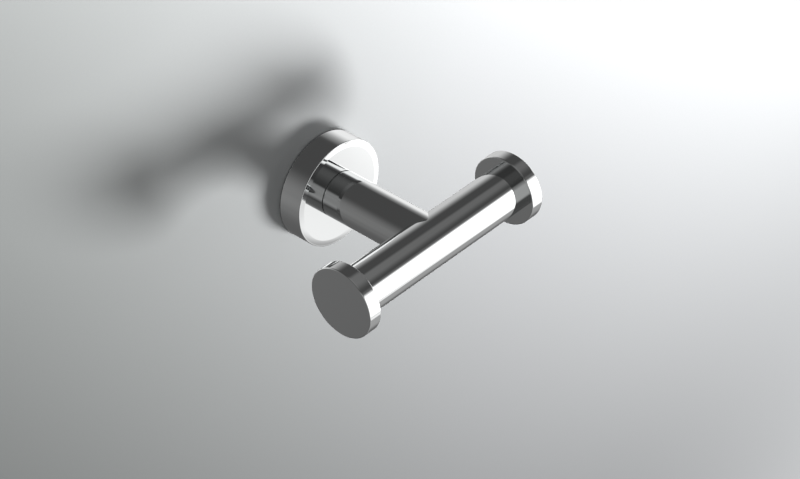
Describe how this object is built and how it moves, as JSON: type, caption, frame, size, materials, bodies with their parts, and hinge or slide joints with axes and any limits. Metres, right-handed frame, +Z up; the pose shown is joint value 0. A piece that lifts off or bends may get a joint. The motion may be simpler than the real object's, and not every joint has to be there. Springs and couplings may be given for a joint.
{
  "type": "double robe hook",
  "caption": "Wall-mounted double robe hook: a round rosette with a short post that carries a crossbar with larger disc ends, so something hangs on each side of the post.",
  "frame": {"origin": "where the post's axis meets the wall, at the middle of the bracket's back face", "axes": "+Y points into the wall, so the hook stands out along -Y; +X along the crossbar to its right end; +Z up"},
  "size_m": [0.1, 0.073, 0.046],
  "materials": {
    "polished_chrome": "brass, turned and polished, bright chrome plated",
    "cast_zinc": "zinc alloy, die cast, left matt",
    "stainless_steel": "stainless steel, turned, plain"
  },
  "bodies": {
    "root": {"rosette_cover": "polished_chrome", "post": "polished_chrome", "crossbar": "polished_chrome", "left_cap": "polished_chrome", "right_cap": "polished_chrome", "wall_bracket": "cast_zinc", "set_screw": "stainless_steel", "tie_screw": "stainless_steel", "spring_washer": "stainless_steel", "dowel_pin": "stainless_steel", "left_cap_stud": "stainless_steel", "right_cap_stud": "stainless_steel"}
  },
  "joints": []
}
